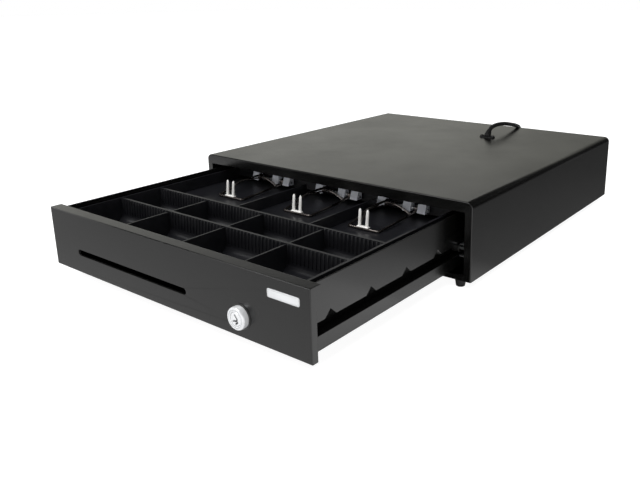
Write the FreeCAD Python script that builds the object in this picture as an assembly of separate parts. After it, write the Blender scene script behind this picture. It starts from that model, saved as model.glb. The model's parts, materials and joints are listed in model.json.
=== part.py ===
import FreeCAD, Part
import math
import os

# Cash drawer: a sheet-metal cabinet with a drawer on rollers, shown with the drawer pulled out.
# Lengths in millimetres. While a piece is drawn, x is across (0 at the middle), y runs back from
# the cabinet's front plane and z is the height above the surface. save() moves it to the part's frame.

# ---- driving dimensions ----
WIDTH = 410.0            # cabinet across
DEPTH = 415.0            # cabinet front to back
BODY_H = 88.0            # cabinet without its feet
FOOT_H = 9.0
OPEN = 233.0             # how far the drawer face stands ahead of the cabinet at rest
SHEET = 1.2              # cabinet and rail sheet
BEND_R = 7.0             # outer radius of the cabinet's long top edges
REAR_LIP = 8.0           # how far the rear panel's folded edges run forward

FLANGE_TOP = 12.0        # widths of the frame around the drawer opening
FLANGE_SIDE = 9.0
FLANGE_BOTTOM = 5.8

PANEL_HALF = 191.0       # drawer face
PANEL_LOW = 16.0
PANEL_HIGH = 82.4
PANEL_T = 1.5
RETURN_TOP = 13.0        # how far the face's folded edges run back
RETURN_SIDE = 7.5

DRAWER_HALF = 183.5      # drawer body, outer faces
DRAWER_T = 1.0
DRAWER_TOP = 81.0
SHELF_Z = 45.0           # underside of the shelf pressed into each side
GROOVE_X = 172.0         # outer face of the groove's wall
STRIP_Z = 33.0           # top of the foot strip below the groove
DRAWER_BOTTOM = 19.2
DRAWER_REAR = 123.0
GUSSET_PITCH = 56.0      # stiffening darts along each side
GUSSET_FIRST = -200.0
GUSSET_RISE = 7.0
GUSSET_HALF = 7.5
GUSSET_DEPTH = 5.5       # on the right, beside the gap
GUSSET_DEPTH_LEFT = 1.8  # on the left, where the tray stands close

ROLLER_R = 5.5
ROLLER_W = 9.0
ROLLER_Z = 39.2
STUD_R = 2.5
FRONT_ROLLER_Y = 18.0
REAR_ROLLER_Y = 112.0

LOCK_X = 110.0
LOCK_Z = 36.5
LOCK_R = 11.7
LOCK_PROUD = 9.0
BARREL_R = 9.0
PLUG_R = 6.5
SLOT_LEFT = -144.0       # media slot in the drawer face
SLOT_RIGHT = 36.0
SLOT_Z = 39.6
SLOT_H = 6.6
BADGE_X = 162.0
BADGE_Z = 68.1
BADGE_W = 36.0
BADGE_H = 7.8

TRAY_LEFT = -180.0
TRAY_RIGHT = 169.0       # a gap is left on this side
TRAY_FRONT = -217.0
TRAY_REAR = 62.0
TRAY_TOP = 76.0
TRAY_WALL = 3.0
COIN_FLOOR = 48.8
NOTE_FLOOR = 61.4
ROW_WALL_Y = -153.5      # wall between the two coin rows
NOTE_WALL_Y = -99.5      # wall between coins and notes
COIN_X = (-88.0, 3.0, 90.0)
NOTE_X = (-42.0, 67.0)
DIVIDER_T = 2.0
DIVIDER_TOP = 74.8
SCOOP_R = 9.0            # rounded feet of the compartments

CLIP_X = (-107.0, 5.0, 101.0)
CLIP_AXLE_Y = 24.5
CLIP_AXLE_Z = 70.5
CLIP_AXLE_R = 1.5
CLIP_ARM_X = 20.5
CLIP_WIRE_R = 1.3
CLIP_FRONT_Y = -49.0
CLIP_FRONT_Z = 63.2
PRONG_X = 5.0
PRONG_TOP = 84.2
BLOCK_STEP = 28.0
BLOCK_MIDDLE = 8.0       # the middle block stands off centre
BLOCK_W = 11.0

LATCH_Y = 398.0          # latch pivot
LATCH_Z = 53.0
LATCH_REACH = 30.5
LATCH_LIFT = 16.0        # degrees between released and latched
LINK_ARM = 12.0
EJECTOR_X = -70.0
EJECTOR_Z = 40.0

FOOT_X = 188.5
FOOT_FRONT = 8.0          # foot centres from the cabinet front and back
FOOT_BACK = 16.0

GLAND_X = 55.0
GLAND_Y = 316.0
GLAND_R = 12.0
CABLE_R = 3.0
BOOT_LENGTH = 4.5
COIL_R = 33.0            # middle of the turns
COIL_BAND = 6.0          # half the width and height of the bundle

BASE_Z = FOOT_H
TOP_Z = FOOT_H + BODY_H
HALF = WIDTH / 2
FACE_Y = -OPEN
FRONT_Y = (OPEN + LOCK_PROUD - DEPTH) / 2     # cabinet front in the part's frame

os.makedirs("parts", exist_ok=True)
NODES = {}


# ---- drawing helpers ----
def vec(x, y, z):
    return FreeCAD.Vector(x, y, z)


def box(x0, x1, y0, y1, z0, z1):
    return Part.makeBox(x1 - x0, y1 - y0, z1 - z0, vec(x0, y0, z0))


def rod(radius, start, end):
    a = vec(*start)
    b = vec(*end)
    return Part.makeCylinder(radius, (b - a).Length, a, b - a)


def cone(r0, r1, start, end):
    a = vec(*start)
    b = vec(*end)
    return Part.makeCone(r0, r1, (b - a).Length, a, b - a)


def prism(outline, along, low, high):
    """A closed outline of 2-D points, stretched along x, y or z."""
    place = {"x": lambda a, b: vec(low, a, b),
             "y": lambda a, b: vec(a, low, b),
             "z": lambda a, b: vec(a, b, low)}[along]
    way = {"x": vec(high - low, 0, 0), "y": vec(0, high - low, 0), "z": vec(0, 0, high - low)}[along]
    points = [place(a, b) for a, b in outline]
    return Part.Face(Part.makePolygon(points + points[:1])).extrude(way)


def fuse(*shapes):
    whole = shapes[0]
    for shape in shapes[1:]:
        whole = whole.fuse(shape)
    return whole.removeSplitter()


def cut(shape, *tools):
    for tool in tools:
        shape = shape.cut(tool)
    return shape


def edges_along(shape, axis, test):
    """Straight edges that run along an axis and whose middle passes the test."""
    found = []
    for edge in shape.Edges:
        if len(edge.Vertexes) != 2:
            continue
        way = edge.Vertexes[1].Point - edge.Vertexes[0].Point
        others = [way.x, way.y, way.z]
        others.pop("xyz".index(axis))
        if max(abs(value) for value in others) < 1e-6 and test(edge.CenterOfMass):
            found.append(edge)
    return found


def folded(line, thick):
    """Outline of a folded sheet: the line is one face, and the other lies thick to its left."""
    normals = []
    for (ax, ay), (bx, by) in zip(line, line[1:]):
        run = math.hypot(bx - ax, by - ay)
        normals.append((-(by - ay) / run, (bx - ax) / run))
    other = []
    for i, (x, y) in enumerate(line):
        n0 = normals[max(i - 1, 0)]
        n1 = normals[min(i, len(normals) - 1)]
        mitre = 1 + n0[0] * n1[0] + n0[1] * n1[1]
        other.append((x + thick * (n0[0] + n1[0]) / mitre, y + thick * (n0[1] + n1[1]) / mitre))
    return line + other[::-1]


def mirror(shape):
    return shape.mirror(vec(0, 0, 0), vec(1, 0, 0))


def save(name, *solids):
    """Keeps one node: a solid, or a group of separate solids."""
    shape = solids[0] if len(solids) == 1 else Part.makeCompound(list(solids))
    shape = shape.copy()
    shape.translate(vec(0, FRONT_Y, 0))
    NODES[name] = shape


# ---- cabinet ----
def housing_cover():
    """Top and sides in one sheet with rounded long edges, and the frame around the opening."""
    outer = box(-HALF, HALF, 0, DEPTH, BASE_Z, TOP_Z)
    outer = outer.makeFillet(BEND_R, edges_along(outer, "y", lambda c: c.z > TOP_Z - 1))
    rim = [e for e in outer.Edges if abs(e.CenterOfMass.y) < 1e-3 and e.CenterOfMass.z > BASE_Z + 1]
    outer = outer.makeFillet(SHEET, rim)
    inner = box(-HALF + SHEET, HALF - SHEET, SHEET, DEPTH + 5, BASE_Z - 5, TOP_Z - SHEET)
    inner = inner.makeFillet(BEND_R - SHEET, edges_along(inner, "y", lambda c: c.z > BASE_Z))
    opening = box(-HALF + FLANGE_SIDE, HALF - FLANGE_SIDE, -5, 5, BASE_Z - 5, TOP_Z - FLANGE_TOP)
    gland_hole = rod(6.2, (GLAND_X, GLAND_Y, TOP_Z - 5), (GLAND_X, GLAND_Y, TOP_Z + 5))
    return cut(outer, inner, opening, gland_hole)


def base_plate():
    side = HALF - SHEET - 0.2
    gap = HALF - FLANGE_SIDE - 0.2
    floor = box(-side, side, SHEET + 0.2, DEPTH - SHEET - 0.2, BASE_Z, BASE_Z + SHEET)
    lip = box(-gap, gap, 0, SHEET + 0.4, BASE_Z, BASE_Z + SHEET)
    front = box(-gap, gap, 0, SHEET, BASE_Z, BASE_Z + FLANGE_BOTTOM)
    wing = box(side - SHEET, side, SHEET + 0.2, DEPTH - SHEET - 0.2, BASE_Z, BASE_Z + 14)
    plate = fuse(floor, lip, front, wing, mirror(wing))
    holes = [rod(2.1, (x, y, 0), (x, y, 20)) for x, y in foot_places()]
    holes += [rod(1.5, (x, y, 0), (x, y, 20)) for x, y in rail_screw_places()]
    return cut(plate, *holes)


def rear_panel():
    """A shallow pan that closes the back, its folded edges pointing forward."""
    side = HALF - SHEET - SHEET - 0.4
    low = BASE_Z + SHEET + 0.2
    high = TOP_Z - SHEET - 0.2
    pan = box(-side, side, DEPTH - REAR_LIP, DEPTH, low, high)
    pan = pan.makeFillet(5.0, edges_along(pan, "y", lambda c: c.z > TOP_Z - 5))
    hollow = box(-side + SHEET, side - SHEET, DEPTH - REAR_LIP - 1, DEPTH - SHEET, low + SHEET, high - SHEET)
    return cut(pan, hollow)


def foot_places():
    return [(sx * FOOT_X, y) for sx in (-1, 1) for y in (FOOT_FRONT, DEPTH - FOOT_BACK)]


def rubber_foot(x, y):
    body = cone(4.9, 6.3, (x, y, 0), (x, y, FOOT_H))
    stem = rod(2.0, (x, y, FOOT_H), (x, y, FOOT_H + SHEET))
    barb = rod(3.2, (x, y, FOOT_H + SHEET), (x, y, FOOT_H + SHEET + 2))
    return fuse(body, stem, barb)


def cabinet_rail(y0, y1):
    """Right-hand rail: a foot on the base, a web, and two flanges that the rear roller runs between."""
    web = 197.6
    inner = DRAWER_HALF + 1.7
    under = BASE_Z + SHEET
    line = [(202.3, under), (web, under), (web, SHELF_Z + 0.3), (inner, SHELF_Z + 0.3)]
    angle = prism(folded(line, -SHEET), "y", y0, y1)
    lower = box(inner, web + 0.5, y0, y1, STRIP_Z + 0.2 - SHEET, STRIP_Z + 0.2)
    stop = box(inner, web + 0.5, 36.0, 38.0, STRIP_Z, STRIP_Z + 6)
    hole = rod(STUD_R, (web - 5, FRONT_ROLLER_Y, ROLLER_Z), (web + 5, FRONT_ROLLER_Y, ROLLER_Z))
    screws = [rod(1.5, (x, y, 0), (x, y, 20)) for x, y in rail_screw_places() if x > 0]
    return cut(fuse(angle, lower, stop), hole, *screws)


def front_stud():
    web = 197.6
    shank = rod(STUD_R, (GROOVE_X + 0.8, FRONT_ROLLER_Y, ROLLER_Z), (web + SHEET, FRONT_ROLLER_Y, ROLLER_Z))
    head = rod(4.5, (web + SHEET, FRONT_ROLLER_Y, ROLLER_Z), (web + SHEET + 1.8, FRONT_ROLLER_Y, ROLLER_Z))
    collar = rod(4.0, (web - 2.5, FRONT_ROLLER_Y, ROLLER_Z), (web, FRONT_ROLLER_Y, ROLLER_Z))
    return fuse(shank, head, collar)


def roller(x, y):
    tyre = rod(ROLLER_R, (x, y, ROLLER_Z), (x + ROLLER_W, y, ROLLER_Z))
    tyre = tyre.makeFillet(0.7, [e for e in tyre.Edges if len(e.Vertexes) == 1])
    bore = rod(STUD_R + 0.08, (x - 5, y, ROLLER_Z), (x + ROLLER_W + 5, y, ROLLER_Z))
    return cut(tyre, bore)


def rail_screw_places():
    return [(s * 200.6, y) for s in (-1, 1) for y in (60.0, 180.0, 300.0)]


def rail_screw(x, y):
    """A pan head on the rail's foot, its shank ending flush under the base."""
    foot_top = BASE_Z + 2 * SHEET
    return fuse(rod(1.7, (x, y, foot_top), (x, y, foot_top + 1.6)), rod(1.5, (x, y, BASE_Z), (x, y, foot_top)))


save("housing_cover", housing_cover())
save("base_plate", base_plate())
save("rear_panel", rear_panel())
save("rubber_feet", *[rubber_foot(x, y) for x, y in foot_places()])
rail = cabinet_rail(10.0, 357.0)
save("cabinet_rail_right", rail)
save("cabinet_rail_left", mirror(rail))
save("front_roller_studs", front_stud(), mirror(front_stud()))
front_roller = roller(GROOVE_X + 1.5, FRONT_ROLLER_Y)
save("front_roller_right", front_roller)
save("front_roller_left", mirror(front_roller))


# ---- drawer ----
def drawer_outline():
    """Right half of the drawer's outer face, from the top edge down to the middle of the bottom."""
    return [(DRAWER_HALF, DRAWER_TOP), (DRAWER_HALF, SHELF_Z), (GROOVE_X, SHELF_Z),
            (GROOVE_X, STRIP_Z), (DRAWER_HALF, STRIP_Z), (DRAWER_HALF, DRAWER_BOTTOM)]


def stadium(x0, x1, z, height, y0, y1):
    """A long slot with round ends, cut along y."""
    r = height / 2
    middle = box(x0 + r, x1 - r, y0, y1, z - r, z + r)
    return fuse(middle, rod(r, (x0 + r, y0, z), (x0 + r, y1, z)), rod(r, (x1 - r, y0, z), (x1 - r, y1, z)))


def gusset(y, depth, grow):
    """The V of a stiffening dart pressed across the fold above the groove, grown inwards."""
    run = math.hypot(depth, GUSSET_RISE)
    along = vec(depth, 0, GUSSET_RISE) * (1 / run)
    out = vec(GUSSET_RISE, 0, -depth) * (1 / run)
    reach = depth * GUSSET_RISE / run
    crease = vec(DRAWER_HALF - depth, y, SHELF_Z) - along * 1.5 - out * grow
    opening = 1.5 * reach + grow
    aside = vec(0, GUSSET_HALF * opening / reach, 0)
    points = [crease, crease + out * opening + aside, crease + out * opening - aside]
    return Part.Face(Part.makePolygon(points + points[:1])).extrude(along * (run + 3.0))


def drawer_shell():
    half = drawer_outline()
    line = half + [(-x, z) for x, z in half[::-1]]
    front = FACE_Y + PANEL_T
    body = prism(folded(line, -DRAWER_T), "y", front, DRAWER_REAR)
    walls = [prism(line, "y", front, front + SHEET), prism(line, "y", DRAWER_REAR - SHEET, DRAWER_REAR)]
    shell = fuse(body, *walls)
    for i in range(6):
        y = GUSSET_FIRST + i * GUSSET_PITCH
        corner = box(GROOVE_X, DRAWER_HALF, y - 12, y + 12, SHELF_Z, SHELF_Z + 12)
        right_skin = gusset(y, GUSSET_DEPTH, 1.2).common(corner)
        left_skin = gusset(y, GUSSET_DEPTH_LEFT, 1.2).common(corner)
        shell = cut(fuse(shell, right_skin, mirror(left_skin)), gusset(y, GUSSET_DEPTH, 0),
                    mirror(gusset(y, GUSSET_DEPTH_LEFT, 0)))
    slot = stadium(SLOT_LEFT, SLOT_RIGHT, SLOT_Z, SLOT_H, front - 5, front + 5)
    lock_hole = rod(BARREL_R, (LOCK_X, front - 5, LOCK_Z), (LOCK_X, front + 5, LOCK_Z))
    bar_hole = rod(5.0, (LOCK_X, DRAWER_REAR - 5, LOCK_Z), (LOCK_X, DRAWER_REAR + 5, LOCK_Z))
    stud_hole = rod(STUD_R, (GROOVE_X - 4, REAR_ROLLER_Y, ROLLER_Z), (GROOVE_X + 4, REAR_ROLLER_Y, ROLLER_Z))
    return cut(shell, slot, lock_hole, bar_hole, stud_hole, mirror(stud_hole))


def front_panel():
    """The painted face, with its top and side edges folded back over the drawer."""
    back = FACE_Y + PANEL_T
    face = box(-PANEL_HALF, PANEL_HALF, FACE_Y, back, PANEL_LOW, PANEL_HIGH)
    top = box(-PANEL_HALF, PANEL_HALF, FACE_Y, FACE_Y + RETURN_TOP, DRAWER_TOP + 0.1, PANEL_HIGH)
    side = box(PANEL_HALF - 1.3, PANEL_HALF, FACE_Y, FACE_Y + RETURN_SIDE, PANEL_LOW, PANEL_HIGH)
    panel = fuse(face, top, side, mirror(side))
    rim = [e for e in panel.Edges if abs(e.CenterOfMass.y - FACE_Y) < 1e-3]
    panel = panel.makeFillet(1.0, rim)
    slot = stadium(SLOT_LEFT, SLOT_RIGHT, SLOT_Z, SLOT_H, FACE_Y - 5, back + 5)
    lock_hole = rod(BARREL_R, (LOCK_X, FACE_Y - 5, LOCK_Z), (LOCK_X, back + 5, LOCK_Z))
    return cut(panel, slot, lock_hole)


def badge_plate():
    plate = box(BADGE_X - BADGE_W / 2, BADGE_X + BADGE_W / 2, FACE_Y - 0.8, FACE_Y,
                BADGE_Z - BADGE_H / 2, BADGE_Z + BADGE_H / 2)
    return plate.makeFillet(1.6, edges_along(plate, "y", lambda c: True))


def rear_stud():
    shank = rod(STUD_R, (GROOVE_X - 1, REAR_ROLLER_Y, ROLLER_Z), (195.2, REAR_ROLLER_Y, ROLLER_Z))
    spacer = rod(4.0, (GROOVE_X, REAR_ROLLER_Y, ROLLER_Z), (DRAWER_HALF + 2, REAR_ROLLER_Y, ROLLER_Z))
    head = rod(4.5, (GROOVE_X - 2.8, REAR_ROLLER_Y, ROLLER_Z), (GROOVE_X - 1, REAR_ROLLER_Y, ROLLER_Z))
    return fuse(shank, spacer, head)


def striker_plate():
    plate = box(-14, 14, DRAWER_REAR, DRAWER_REAR + 2, 38, 60)
    tongue = box(-12, 12, DRAWER_REAR, DRAWER_REAR + 20, 42, 44)
    hole = box(-5, 5, DRAWER_REAR + 7, DRAWER_REAR + 16, 30, 50)
    return cut(fuse(plate, tongue), hole)


save("drawer_shell", drawer_shell())
save("front_panel", front_panel())
save("badge_plate", badge_plate())
save("rear_roller_studs", rear_stud(), mirror(rear_stud()))
rear_roller = roller(DRAWER_HALF + 2.3, REAR_ROLLER_Y)
save("rear_roller_right", rear_roller)
save("rear_roller_left", mirror(rear_roller))
save("striker_plate", striker_plate())


# ---- key lock: the plug turns a bar that runs under the tray to a cam behind the drawer ----
def lock_barrel():
    face = FACE_Y - LOCK_PROUD
    bezel = rod(LOCK_R, (LOCK_X, face, LOCK_Z), (LOCK_X, FACE_Y, LOCK_Z))
    front = [e for e in bezel.Edges if len(e.Vertexes) == 1 and e.CenterOfMass.y < face + 0.1]
    bezel = bezel.makeFillet(1.6, front)
    barrel = rod(BARREL_R, (LOCK_X, FACE_Y, LOCK_Z), (LOCK_X, FACE_Y + 27, LOCK_Z))
    bore = rod(PLUG_R + 0.08, (LOCK_X, face - 1, LOCK_Z), (LOCK_X, FACE_Y + 28, LOCK_Z))
    return cut(fuse(bezel, barrel), bore)


def lock_plug():
    face = FACE_Y - LOCK_PROUD
    plug = rod(PLUG_R, (LOCK_X, face + 0.5, LOCK_Z), (LOCK_X, FACE_Y + 28, LOCK_Z))
    collar = rod(8.4, (LOCK_X, FACE_Y + 27.3, LOCK_Z), (LOCK_X, FACE_Y + 29, LOCK_Z))
    keyway = box(LOCK_X - 0.9, LOCK_X + 0.9, face, face + 12, LOCK_Z - 4.2, LOCK_Z + 4.2)
    return cut(fuse(plug, collar), keyway)


def lock_cam():
    y0 = DRAWER_REAR + 0.6
    hub = rod(4.5, (LOCK_X, y0, LOCK_Z), (LOCK_X, y0 + 2.5, LOCK_Z))
    arm = box(LOCK_X - 17.5, LOCK_X, y0, y0 + 2.5, LOCK_Z - 4.5, LOCK_Z + 4.5)
    tip = rod(4.5, (LOCK_X - 17.5, y0, LOCK_Z), (LOCK_X - 17.5, y0 + 2.5, LOCK_Z))
    return fuse(arm, hub, tip)


def lock_keeper():
    """A tab on the base that the turned cam hooks behind when the drawer is shut."""
    floor = BASE_Z + SHEET
    tab = box(LOCK_X - 8, LOCK_X + 8, 352, 354, floor, 18.4)
    foot = box(LOCK_X - 8, LOCK_X + 8, 352, 366, floor, floor + 1.5)
    return fuse(tab, foot)


inside = FACE_Y + PANEL_T + SHEET
nut = Part.makeCylinder(12.3, 3.5, vec(LOCK_X, inside, LOCK_Z), vec(0, 1, 0))
bore = rod(BARREL_R, (LOCK_X, inside - 5, LOCK_Z), (LOCK_X, inside + 9, LOCK_Z))
flats = [box(LOCK_X + s * 15.5 - 4, LOCK_X + s * 15.5 + 4, inside - 5, inside + 9, 0, 90) for s in (-1, 1)]
save("lock_barrel", lock_barrel())
save("lock_nut", cut(nut, bore, *flats))
save("lock_plug", lock_plug())
save("lock_tail_bar", box(LOCK_X - 3, LOCK_X + 3, FACE_Y + 29, DRAWER_REAR + 0.6, LOCK_Z - 1, LOCK_Z + 1))
save("lock_cam", lock_cam())
save("lock_keeper", lock_keeper())


# ---- cash tray ----
def trough(y0, y1, floor, x0, x1, top=90.0):
    """The space of a row of compartments, with rounded feet front and back."""
    space = box(x0, x1, y0, y1, floor, top)
    return space.makeFillet(SCOOP_R, edges_along(space, "x", lambda c: c.z < floor + 1))


half_wall = TRAY_WALL / 2
COIN_ROWS = ((TRAY_FRONT + TRAY_WALL, ROW_WALL_Y - half_wall), (ROW_WALL_Y + half_wall, NOTE_WALL_Y - half_wall))
NOTE_ROW = (NOTE_WALL_Y + half_wall, TRAY_REAR - TRAY_WALL)
INSIDE_LEFT = TRAY_LEFT + TRAY_WALL
INSIDE_RIGHT = TRAY_RIGHT - TRAY_WALL


def cash_tray():
    body = box(TRAY_LEFT, TRAY_RIGHT, TRAY_FRONT, TRAY_REAR, SHELF_Z + DRAWER_T, TRAY_TOP)
    body = body.makeFillet(4.0, edges_along(body, "z", lambda c: True))
    coins = [trough(y0, y1, COIN_FLOOR, INSIDE_LEFT, INSIDE_RIGHT) for y0, y1 in COIN_ROWS]
    notes = trough(NOTE_ROW[0], NOTE_ROW[1], NOTE_FLOOR, INSIDE_LEFT, INSIDE_RIGHT)
    below = box(INSIDE_LEFT, INSIDE_RIGHT, NOTE_ROW[0] + 2, NOTE_ROW[1], 40, NOTE_FLOOR - 2.5)
    return cut(body, notes, below, *coins)


def divider(x, row, floor):
    """A removable plate that stands across a row, following its rounded feet."""
    y0, y1 = row
    space = trough(y0 + 0.15, y1 - 0.15, floor, x - DIVIDER_T / 2, x + DIVIDER_T / 2, DIVIDER_TOP)
    return space


save("cash_tray", cash_tray())
for row_name, row in zip(("front", "rear"), COIN_ROWS):
    for side_name, x in zip(("left", "middle", "right"), COIN_X):
        save("coin_divider_" + row_name + "_" + side_name, divider(x, row, COIN_FLOOR))
for side_name, x in zip(("left", "right"), NOTE_X):
    save("note_divider_" + side_name, cut(divider(x, NOTE_ROW, NOTE_FLOOR),
                                          box(x - 3, x + 3, CLIP_AXLE_Y - 5.3, 38.3, 63.7, 90)))


# ---- bill clips: three sprung wires that turn on axles at the back of the note compartments ----
def clip_block(x):
    """One bearing block, its front face sloped back."""
    side = [(CLIP_AXLE_Y - 5, 66.5), (30.0, 66.5), (30.0, 77.8), (CLIP_AXLE_Y - 1, 77.8)]
    block = prism(side, "x", x - BLOCK_W / 2, x + BLOCK_W / 2)
    hole = rod(CLIP_AXLE_R, (x - 20, CLIP_AXLE_Y, CLIP_AXLE_Z), (x + 20, CLIP_AXLE_Y, CLIP_AXLE_Z))
    return cut(block, hole)


def wire(points, radius):
    """Round wire along straight runs, with a ball at each corner."""
    pieces = [rod(radius, a, b) for a, b in zip(points, points[1:])]
    pieces += [Part.makeSphere(radius, vec(*p)) for p in points[1:-1]]
    return fuse(*pieces)


def clip_wire(x):
    """Two arms from eyes on the axle to a cross wire at the front."""
    corner = 5.0
    rear = CLIP_AXLE_Y - 4.0
    mid_y = -14.0
    left = [(x - CLIP_ARM_X, rear, CLIP_AXLE_Z + 0.6), (x - CLIP_ARM_X, mid_y, 68.4),
            (x - CLIP_ARM_X, CLIP_FRONT_Y + corner, CLIP_FRONT_Z + 0.4),
            (x - CLIP_ARM_X + corner * 0.3, CLIP_FRONT_Y + corner * 0.3, CLIP_FRONT_Z),
            (x - CLIP_ARM_X + corner, CLIP_FRONT_Y, CLIP_FRONT_Z)]
    right = [(2 * x - px, py, pz) for px, py, pz in left[::-1]]
    frame = wire(left + right, CLIP_WIRE_R)
    shape = frame
    for s in (-1, 1):
        a = x + s * (CLIP_ARM_X - 1.8)
        b = x + s * (CLIP_ARM_X + 1.5)
        eye = rod(4.0, (min(a, b), CLIP_AXLE_Y, CLIP_AXLE_Z), (max(a, b), CLIP_AXLE_Y, CLIP_AXLE_Z))
        shape = fuse(shape, eye)
    bore = rod(CLIP_AXLE_R + 0.08, (x - 40, CLIP_AXLE_Y, CLIP_AXLE_Z), (x + 40, CLIP_AXLE_Y, CLIP_AXLE_Z))
    return cut(shape, bore)


def clip_prongs(x):
    """Two upright finger prongs that stand on the cross wire."""
    lean = 2.0
    seat = CLIP_FRONT_Z + CLIP_WIRE_R
    base = box(x - PRONG_X - 2.5, x + PRONG_X + 2.5, CLIP_FRONT_Y - 2.2, CLIP_FRONT_Y + 2.2, seat, seat + 1.2)
    posts = [cone(1.5, 1.1, (x + s * PRONG_X, CLIP_FRONT_Y, seat), (x + s * PRONG_X, CLIP_FRONT_Y + lean, PRONG_TOP))
             for s in (-1, 1)]
    return fuse(base, *posts)


bar = box(INSIDE_LEFT, INSIDE_RIGHT, 30.0, 38.0, 64.0, TRAY_TOP)
save("clip_bar", bar)
save("clip_blocks", *[clip_block(x + d) for x in CLIP_X for d in (-BLOCK_STEP, BLOCK_MIDDLE, BLOCK_STEP)])
reach = BLOCK_STEP + BLOCK_W / 2 + 1.5
save("clip_axles", *[rod(CLIP_AXLE_R, (x - reach, CLIP_AXLE_Y, CLIP_AXLE_Z), (x + reach, CLIP_AXLE_Y, CLIP_AXLE_Z))
                     for x in CLIP_X])
for side_name, x in zip(("left", "middle", "right"), CLIP_X):
    save("bill_clip_" + side_name, clip_wire(x))
    save("clip_prongs_" + side_name, clip_prongs(x))


# ---- electric latch at the back ----
FLOOR = BASE_Z + SHEET


def latch_bracket():
    """A bridge over the striker's path that carries the latch pivot and the solenoid."""
    cheek = box(18, 20, 372, 406, FLOOR, 68)
    foot = box(18, 30, 372, 406, FLOOR, FLOOR + 2)
    bridge = box(-20, 20, 372, 406, 66, 68)
    window = box(-9, 9, 379.5, 393.5, 60, 70)
    pin_hole = rod(2.5, (-40, LATCH_Y, LATCH_Z), (40, LATCH_Y, LATCH_Z))
    return cut(fuse(cheek, foot, mirror(cheek), mirror(foot), bridge), window, pin_hole)


def latch_hook():
    """Latch lever, drawn latched and then turned up to its released place."""
    tip = LATCH_Y - LATCH_REACH
    side = [(LATCH_Y + 5, LATCH_Z - 4), (tip + 2.5, LATCH_Z - 5), (tip + 2.5, 38.0), (tip - 2.5, 40.0),
            (tip - 2.5, LATCH_Z + 2), (tip + 4, LATCH_Z + 4), (LATCH_Y + 5, LATCH_Z + 4)]
    lever = prism(side, "x", -2.5, 2.5)
    hub = rod(5.5, (-7, LATCH_Y, LATCH_Z), (7, LATCH_Y, LATCH_Z))
    link = rod(1.5, (-6.5, LATCH_Y - LINK_ARM, LATCH_Z), (6.5, LATCH_Y - LINK_ARM, LATCH_Z))
    hook = cut(fuse(lever, hub, link), rod(2.58, (-9, LATCH_Y, LATCH_Z), (9, LATCH_Y, LATCH_Z)))
    hook.rotate(vec(0, LATCH_Y, LATCH_Z), vec(1, 0, 0), -LATCH_LIFT)
    return hook


lift = math.radians(LATCH_LIFT)
PLUNGER_Y = LATCH_Y - LINK_ARM * math.cos(lift) - 0.2
LINK_Z = LATCH_Z + LINK_ARM * math.sin(lift)


def solenoid_plunger():
    core = rod(4.0, (0, PLUNGER_Y, LINK_Z + 7.0), (0, PLUNGER_Y, 89))
    head = box(-6, 6, PLUNGER_Y - 4, PLUNGER_Y + 4, LINK_Z - 3.4, LINK_Z + 9.0)
    throat = box(-3.1, 3.1, PLUNGER_Y - 9, PLUNGER_Y + 9, LINK_Z - 9, LINK_Z + 7.0)
    slot = box(-9, 9, PLUNGER_Y - 2.4, PLUNGER_Y + 2.4, LINK_Z - 1.9, LINK_Z + 1.9)
    return fuse(cut(head, throat, slot), core)


def solenoid_frame():
    low = box(-15, 15, PLUNGER_Y - 12, PLUNGER_Y + 13, 68, 70)
    high = box(-15, 15, PLUNGER_Y - 12, PLUNGER_Y + 13, 92, 94)
    back = box(-15, 15, PLUNGER_Y + 11, PLUNGER_Y + 13, 68, 94)
    hole = rod(4.4, (0, PLUNGER_Y, 60), (0, PLUNGER_Y, 71))
    return cut(fuse(low, high, back), hole)


coil = cut(rod(10.8, (0, PLUNGER_Y, 70), (0, PLUNGER_Y, 92)), rod(4.3, (0, PLUNGER_Y, 69), (0, PLUNGER_Y, 93)))
save("latch_bracket", latch_bracket())
save("latch_pivot_pin", rod(2.5, (-22, LATCH_Y, LATCH_Z), (22, LATCH_Y, LATCH_Z)))
save("latch_hook", latch_hook())
save("solenoid_frame", solenoid_frame())
save("solenoid_coil", coil)
save("solenoid_plunger", solenoid_plunger())
switch = fuse(box(20, 26.5, 376, 396, 40, 50), box(21.5, 25, 371, 377, 47, 47.8), rod(0.8, (23, 390, 36), (23, 390, 41)))
save("drawer_switch", switch)


def ejector_housing():
    tube = rod(8.0, (EJECTOR_X, 376, EJECTOR_Z), (EJECTOR_X, 405, EJECTOR_Z))
    post = box(EJECTOR_X - 5, EJECTOR_X + 5, 378, 403, FLOOR, EJECTOR_Z)
    foot = box(EJECTOR_X - 12, EJECTOR_X + 12, 376, 405, FLOOR, FLOOR + 2)
    bore = rod(5.2, (EJECTOR_X, 370, EJECTOR_Z), (EJECTOR_X, 403, EJECTOR_Z))
    return cut(fuse(tube, post, foot), bore)


ejector = rod(5.0, (EJECTOR_X, 357.0, EJECTOR_Z), (EJECTOR_X, 396, EJECTOR_Z))
ejector = ejector.makeFillet(1.5, [e for e in ejector.Edges if len(e.Vertexes) == 1 and e.CenterOfMass.y < 358])
spring = cut(rod(4.8, (EJECTOR_X, 396.4, EJECTOR_Z), (EJECTOR_X, 403, EJECTOR_Z)),
             rod(3.4, (EJECTOR_X, 390, EJECTOR_Z), (EJECTOR_X, 410, EJECTOR_Z)))
save("ejector_housing", ejector_housing())
save("ejector_plunger", ejector)
save("ejector_spring", spring)
save("rail_screws", *[rail_screw(x, y) for x, y in rail_screw_places()])


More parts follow.
